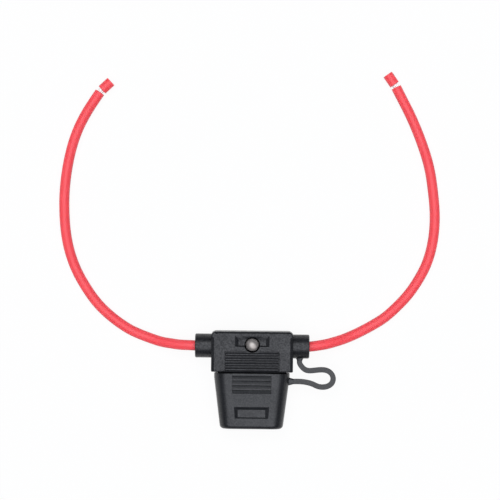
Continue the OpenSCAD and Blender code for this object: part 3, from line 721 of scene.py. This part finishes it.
# painted shade on the floor of the gap round the light's lens and on the cap's neck inside the gap
give_painted_shade(dressed[0], shade_in_gaps_plastic, lambda x, y, z: 2.55 < math.hypot(x, y - lens_y)
          < lens_gap_radius + 0.05 and 9.0 < z < 13.0)
give_painted_shade(dressed[1], shade_in_gaps_plastic, lambda x, y, z: collar_top - 0.02 < y < skirt_end + 1.0
          and abs(z - axis_height) < neck_half_thickness + 0.02)

# %% [markdown]
# Between the rounded grooves of the housing's grip, the lands are low ridges rather than flats,
# so they look darker than the face round them. They are all alike and evenly spaced. A node
# tree makes one ridge from a cube whose top is drawn in, and repeats it along a line.

# %% Ridges of the housing's grip
def ridge_tree():
    tree = bpy.data.node_groups.new("grip_ridges", "GeometryNodeTree")
    given = named_inputs(tree, {"Count": 4.0, "Pitch": 2 * mm, "Length": 21.8 * mm,
                                "Width": 0.8 * mm, "Height": 0.13 * mm, "Crest": 0.14})
    size = add_node(tree, "ShaderNodeCombineXYZ", inputs={
        "X": given.outputs["Length"], "Y": given.outputs["Width"], "Z": given.outputs["Height"]})
    block = add_node(tree, "GeometryNodeMeshCube", inputs={"Size": size.outputs[0]})
    place = add_node(tree, "GeometryNodeInputPosition")
    height = add_node(tree, "ShaderNodeSeparateXYZ", inputs={0: place.outputs[0]})
    upper = add_node(tree, "FunctionNodeCompare", {"operation": "GREATER_THAN"},
                     {0: height.outputs["Z"], 1: 0.0})
    inwards = add_node(tree, "ShaderNodeCombineXYZ",
                       inputs={"X": 0.98, "Y": given.outputs["Crest"], "Z": 1.0})
    drawn_in = add_node(tree, "ShaderNodeVectorMath", {"operation": "MULTIPLY"},
                        {0: place.outputs[0], 1: inwards.outputs[0]})
    ridge = add_node(tree, "GeometryNodeSetPosition",
                     inputs={"Geometry": block.outputs[0], "Selection": upper.outputs[0],
                             "Position": drawn_in.outputs[0]})
    back = add_node(tree, "ShaderNodeMath", {"operation": "MULTIPLY"},
                    {0: given.outputs["Pitch"], 1: -1.0})
    step = add_node(tree, "ShaderNodeCombineXYZ", inputs={"Y": back.outputs[0]})
    row = add_node(tree, "GeometryNodeMeshLine", {"mode": "OFFSET"},
                   {"Count": given.outputs["Count"], "Offset": step.outputs[0]})
    ridges = add_node(tree, "GeometryNodeInstanceOnPoints",
                      inputs={"Points": row.outputs[0], "Instance": ridge.outputs[0]})
    return finish_tree(tree, ridges.outputs[0], given)


grip_tree = ridge_tree()
grip_floor = 13.8
short_ridge = {"Count": 1.0, "Length": 8.5 * mm}
for name, sizes, x, y, on_back in (
        ("front_grip_ridges", {"Count": 3.0}, 0, -4.1, False),
        ("left_short_ridge", short_ridge, -6.65, -2.1, False),
        ("right_short_ridge", short_ridge, 6.65, -2.1, False),
        ("back_grip_ridges", {}, 0, -2.1, True)):
    ridges = baked(name, grip_tree, sizes, housing_plastic)
    ridges.data.transform(Matrix.Translation((x * mm, y * mm, (grip_floor + 0.045) * mm)))
    if on_back:
        middle = Matrix.Translation((0, 0, half_thickness))
        ridges.data.transform(middle @ Matrix.Diagonal((-1, 1, -1, 1)) @ middle.inverted())
    face_outwards(ridges)
    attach(ridges, "holder")
    print(ridges.name, len(ridges.data.polygons), "faces")

# %% The contacts, the fuse and the parts behind the light
dressed += [
    rounded_copy("left_terminal", "left_contact", 0.05, contact_brass,
                 segments=2),
    rounded_copy("right_terminal", "right_contact", 0.05, contact_brass,
                 segments=2),
    rounded_copy("fuse_body", "fuse_moulding", 0.15, amber_plastic),
    rounded_copy("fuse_element", "fuse_strip", 0.06, fuse_zinc, segments=2),
    rounded_copy("led_cathode", "reflector_leg", 0.04, lead_frame_metal,
                 segments=2),
    rounded_copy("led_anode", "post_leg", 0.04, lead_frame_metal, segments=2),
    rounded_copy("resistor_body", "banded_resistor", 0, lacquer),
    rounded_copy("resistor_inner_lead", "resistor_lead_in", 0.03, lead_frame_metal,
                 segments=2),
    rounded_copy("resistor_outer_lead", "resistor_lead_out", 0, lead_frame_metal),
]
print(len(dressed), "solids dressed")

# %% [markdown]
# ## The light's lens
# The lens is a solid of revolution: a flange at the bottom that stops it from being pushed out,
# a straight body, and a dome that ends level with the housing's face. Its dome works as a
# magnifier, so the small metal cup inside fills most of it when seen from above, as it does in
# the photograph; the bright middle it shows is also a painted highlight in the resin's colour,
# with painted shade round it. The real lens encloses its metal legs, so this one has no cuts for them.

# %% Turn the lens from its outline
lens_low, lens_top = 5.3, 14.0
lens_radius, lens_lip, lens_flange = 2.6, 0.35, 1.0


def turned(name, outline, centre, sides=64):
    """A closed solid turned from an outline of (radius, height) that starts and ends on its axis."""
    points = [(centre[0], centre[1], outline[0][1])]
    for r, z in outline[1:-1]:
        for j in range(sides):
            a = 2 * math.pi * j / sides
            points.append((centre[0] + r * math.cos(a), centre[1] + r * math.sin(a), z))
    points.append((centre[0], centre[1], outline[-1][1]))
    faces = []
    for j in range(sides):
        k = (j + 1) % sides
        faces.append((0, 1 + k, 1 + j))
        for i in range(len(outline) - 3):
            a = 1 + i * sides
            faces.append((a + j, a + k, a + sides + k, a + sides + j))
        last = 1 + (len(outline) - 3) * sides
        faces.append((last + j, last + k, len(points) - 1))
    return face_outwards(new_piece(name, points, faces))


dome = [(lens_radius * math.cos(a), lens_top - lens_radius + lens_radius * math.sin(a))
        for a in np.linspace(0, math.pi / 2, 17)]
flange = lens_radius + lens_lip
lens = turned("clear_lens", [
    (0, lens_low), (flange - 0.1, lens_low), (flange, lens_low + 0.1),
    (flange, lens_low + lens_flange - 0.1), (flange - 0.1, lens_low + lens_flange),
    (lens_radius + 0.05, lens_low + lens_flange), (lens_radius, lens_low + lens_flange + 0.05),
    *dome[:-1], (0, lens_top)], (0, lens_y))
smooth_piece(lens, 40)
lens.data.materials.append(lens_resin_painted_highlight)
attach(lens, "holder")
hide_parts("led_lens")
print(lens.name, len(lens.data.polygons), "faces")

# %% [markdown]
# ## Lead ends
# A ring of insulation is left on the strands near each end, so that they do not fray before the
# wire is used. The strands bend a little in the gap. The baked bundle lies along X, so a point
# past the bend is turned round it, and the whole is then moved to the end of its lead.

# %% Place the strands and the cut rings of insulation
slug_turn = {"left": -13.0, "right": 8.0}
gap, slug_length, strand = 1.3, 4.9, 0.48


def at_lead_end(side):
    """The place and direction of a lead's end."""
    route = lead_routes[side]
    (x0, y0, _), (x1, y1, z1) = route[-2], route[-1]
    turn = Matrix.Rotation(math.atan2(y1 - y0, x1 - x0), 4, "Z")
    return Matrix.Translation(Vector((x1, y1, z1)) * mm) @ turn


def bend_at(piece, place_mm, turn_deg, spread_mm=0.35):
    """Turns what lies past a place on X, softly over a short stretch."""
    middle = Vector((place_mm * mm, 0, 0))
    for v in piece.data.vertices:
        t = (v.co.x - middle.x) / (2 * spread_mm * mm) + 0.5
        t = min(max(t, 0.0), 1.0)
        part = t * t * (3 - 2 * t)
        v.co = Matrix.Rotation(math.radians(turn_deg) * part, 3, "Z") @ (v.co - middle) + middle


def strands(name, length_mm, twist):
    sizes = {"Length": length_mm * mm, "Strand Diameter": strand * mm, "Twist": twist}
    return smooth_piece(baked(name, wire_tree, sizes, tinned_strands), 50)


for side, turn in slug_turn.items():
    bare = strands(side + "_bare_bundle", gap + slug_length - 0.3 + 0.8, 1.9)
    bare.data.transform(Matrix.Translation((-0.8 * mm, 0, 0)))
    bend_at(bare, gap / 2, turn)
    bare.data.transform(at_lead_end(side))
    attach(bare, "holder")
    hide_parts(side + "_bare_strands")
    slug = rounded_copy(side + "_insulation_slug", side + "_cut_ring", 0.12, red_insulation)
    print(side, "end:", len(bare.data.polygons), "faces of strands")

# %% The strands inside the crimps
for side, way in (("left", -1), ("right", 1)):
    crimped = strands(side + "_crimped_bundle", 7.0, 1.2)
    crimped.data.transform(Matrix.Translation((8.2 * mm, 0, half_thickness)))
    if way < 0:
        crimped.data.transform(Matrix.Rotation(math.pi, 4, "Z"))
    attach(crimped, "holder")
    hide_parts(side + "_crimped_strands")
    print(crimped.name, len(crimped.data.polygons), "faces")

for side, piece in leads.items():
    piece.data.materials.append(red_insulation)
    line = lead_lines[side]
    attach(piece, "holder")
    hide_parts(side + "_lead")
    mouth = -sleeve_mouth if side == "left" else sleeve_mouth
    mouth * mm
    [tuple(p * mm) for p in line]

# %% [markdown]
# ## The tether
# The strap that keeps the cap is moulded with it: flat, a little wider than it is thick, with
# rounded edges. Its shape is one section carried along a line, so Geometry Nodes sweep it. The
# strap has to bend when the cap is pulled, so it is made in two pieces that meet where the loop
# turns: one from the sleeve to the turn, and one from the turn back to the cap.

# %% Sweep the strap
def strap_tree():
    tree = bpy.data.node_groups.new("swept_strap", "GeometryNodeTree")
    given = named_inputs(tree, {"Width": 2.1 * mm, "Thickness": 2.2 * mm, "Edge Radius": 0.16 * mm})
    flat = add_node(tree, "GeometryNodeSetCurveNormal", {"mode": "Z_UP"},
                    {"Curve": given.outputs["Geometry"]})
    section = add_node(tree, "GeometryNodeCurvePrimitiveQuadrilateral", {"mode": "RECTANGLE"},
                       {"Width": given.outputs["Width"], "Height": given.outputs["Thickness"]})
    soft = add_node(tree, "GeometryNodeFilletCurve", {"mode": "POLY"},
                    {"Curve": section.outputs[0], "Count": 4,
                     "Radius": given.outputs["Edge Radius"]})
    body = add_node(tree, "GeometryNodeCurveToMesh",
                    inputs={"Curve": flat.outputs[0], "Profile Curve": soft.outputs[0],
                            "Fill Caps": True})
    return finish_tree(tree, body.outputs[0], given)


strap_route = [
    (19.0, -5.55), (19.0, -6.4), (19.9, -8), (21.5, -9.3), (23.3, -9.6), (25.3, -9.4),
    (27.3, -9.2), (29.3, -9.3), (31, -10), (32.2, -11.4), (32.5, -13), (31.9, -14.6),
    (30.4, -15.7), (28.4, -16.1), (26.3, -15.8), (24.2, -14.9), (22, -14.3), (19.6, -14.0),
    (16.71, -14.0),
]
strap_line = spline_through([(x, y, 7.0) for x, y in strap_route], 0.4)
split = int(np.argmax(strap_line[:, 0]))
turning_point = (strap_line[split] + strap_line[split + 1]) / 2


def strap_piece(name, line):
    """The strap's section swept along part of its route."""
    curve = bpy.data.curves.new(name + "_line", "CURVE")
    curve.dimensions = "3D"
    spline = curve.splines.new("POLY")
    spline.points.add(len(line) - 1)
    for point, place in zip(spline.points, line):
        point.co = (*(place * mm), 1)
    source = bpy.data.objects.new(name + "_line", curve)
    bpy.context.scene.collection.objects.link(source)
    piece = baked(name, strap_tree(), {}, strap_plastic, source)
    smooth_piece(face_outwards(piece), 40)
    print(piece.name, len(piece.data.polygons), "faces")
    return piece


strap = strap_piece("cap_strap", np.vstack([strap_line[:split + 1], turning_point]))
strap_return = strap_piece("cap_strap_return", np.vstack([turning_point, strap_line[split + 1:]]))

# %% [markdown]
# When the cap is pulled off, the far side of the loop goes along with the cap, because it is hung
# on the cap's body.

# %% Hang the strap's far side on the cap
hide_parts("tether_strap")
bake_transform(strap)
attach(strap_return, "cap")

# %% [markdown]
# ## Table and light
# The photograph has a pure white ground and light from a large soft source overhead, with dimmer
# surroundings: black plastic mirrors them, so flat faces look grey, rounded sides dark, and the
# outermost edges bright again, where they mirror the table. A sky that is bright at the top,
# dim halfway down and pale at the horizon gives that without any lamp in the way. The left is
# a little brighter than the right, as on the photograph's left-hand edges.

# %% The white table
table_material = bpy.data.materials.new("white_table")
table_material.use_nodes = True
table_nodes = table_material.node_tree
table_nodes.nodes.clear()
rays = table_nodes.nodes.new("ShaderNodeLightPath")
matt = table_nodes.nodes.new("ShaderNodeBsdfDiffuse")
matt.inputs["Color"].default_value = (0.86, 0.86, 0.86, 1)
lit = table_nodes.nodes.new("ShaderNodeEmission")
lit.inputs["Strength"].default_value = 1.0
white = table_nodes.nodes.new("ShaderNodeMixShader")
table_out = table_nodes.nodes.new("ShaderNodeOutputMaterial")
seen_by = rays.outputs["Is Camera Ray"]
for other in ("Is Glossy Ray", "Is Transmission Ray"):
    both = table_nodes.nodes.new("ShaderNodeMath")
    both.operation = "MAXIMUM"
    table_nodes.links.new(seen_by, both.inputs[0])
    table_nodes.links.new(rays.outputs[other], both.inputs[1])
    seen_by = both.outputs[0]
share = table_nodes.nodes.new("ShaderNodeMath")
share.operation = "MULTIPLY"
share.inputs[1].default_value = 0.93
table_nodes.links.new(seen_by, share.inputs[0])
table_nodes.links.new(share.outputs[0], white.inputs[0])
table_nodes.links.new(matt.outputs[0], white.inputs[1])
table_nodes.links.new(lit.outputs[0], white.inputs[2])
table_nodes.links.new(white.outputs[0], table_out.inputs["Surface"])

table = new_piece("table_top", [(-3000, -3000, 0), (3000, -3000, 0), (3000, 3000, 0),
                                (-3000, 3000, 0)], [(0, 1, 2, 3)])
table.data.materials.append(table_material)
table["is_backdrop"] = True
print("table", table.name)

# %% The sky
world = bpy.data.worlds.new("studio_sky")
bpy.context.scene.world = world
world.use_nodes = True
sky = world.node_tree
sky.nodes.clear()
direction = sky.nodes.new("ShaderNodeTexCoord")
parts = sky.nodes.new("ShaderNodeSeparateXYZ")
sky.links.new(direction.outputs["Generated"], parts.inputs[0])
levels = sky.nodes.new("ShaderNodeValToRGB")
sky.links.new(parts.outputs["Z"], levels.inputs[0])
sky_stops = [(0.0, 1.0), (0.04, 1.0), (0.09, 0.12), (0.7, 0.12), (0.88, 1.0)]
ramp = levels.color_ramp
while len(ramp.elements) < len(sky_stops):
    ramp.elements.new(1.0)
for element, (height, level) in zip(ramp.elements, sky_stops):
    element.position = height
    cool = 0.04 if height > 0.8 else 0.0
    element.color = (level * (1 - cool), level * (1 - cool / 2), level * (1 + cool), 1)
above = sky.nodes.new("ShaderNodeMapRange")
above.inputs["From Min"].default_value = 0.7
above.inputs["From Max"].default_value = 0.88
above.inputs["To Min"].default_value = 1.0
above.inputs["To Max"].default_value = 2.65
sky.links.new(parts.outputs["Z"], above.inputs["Value"])
to_left = sky.nodes.new("ShaderNodeMapRange")
to_left.inputs["From Min"].default_value = -0.95
to_left.inputs["From Max"].default_value = -0.6
to_left.inputs["To Min"].default_value = 1.6
to_left.inputs["To Max"].default_value = 1.0
sky.links.new(parts.outputs["X"], to_left.inputs["Value"])
strength = sky.nodes.new("ShaderNodeMath")
strength.operation = "MULTIPLY"
sky.links.new(above.outputs[0], strength.inputs[0])
sky.links.new(to_left.outputs[0], strength.inputs[1])
background = sky.nodes.new("ShaderNodeBackground")
world_out = sky.nodes.new("ShaderNodeOutputWorld")
sky.links.new(levels.outputs["Color"], background.inputs["Color"])
sky.links.new(strength.outputs[0], background.inputs["Strength"])
sky.links.new(background.outputs[0], world_out.inputs["Surface"])
bpy.context.scene.view_settings.view_transform = "Standard"
print("sky with", len(sky_stops), "levels")

# %% The key light
key_data = bpy.data.lights.new("key_light", "AREA")
key_data.shape = "DISK"
key_data.size = 0.35
key_data.energy = 1.2
key = bpy.data.objects.new("key_light", key_data)
key.location = (-0.25, 0.62, 1.1)
key.rotation_euler = Vector(key.location).to_track_quat("Z", "Y").to_euler()
bpy.context.scene.collection.objects.link(key)
print("key light", key_data.energy, "W")

# %% Print the sizes of the CAD model and of the dressed pieces
visual_bounds = [list(corner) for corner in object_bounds()]
for kind, corners in (("cad", cad_bounds), ("visual", visual_bounds)):
    print(kind, [[round(c / mm, 2) for c in corner] for corner in corners])
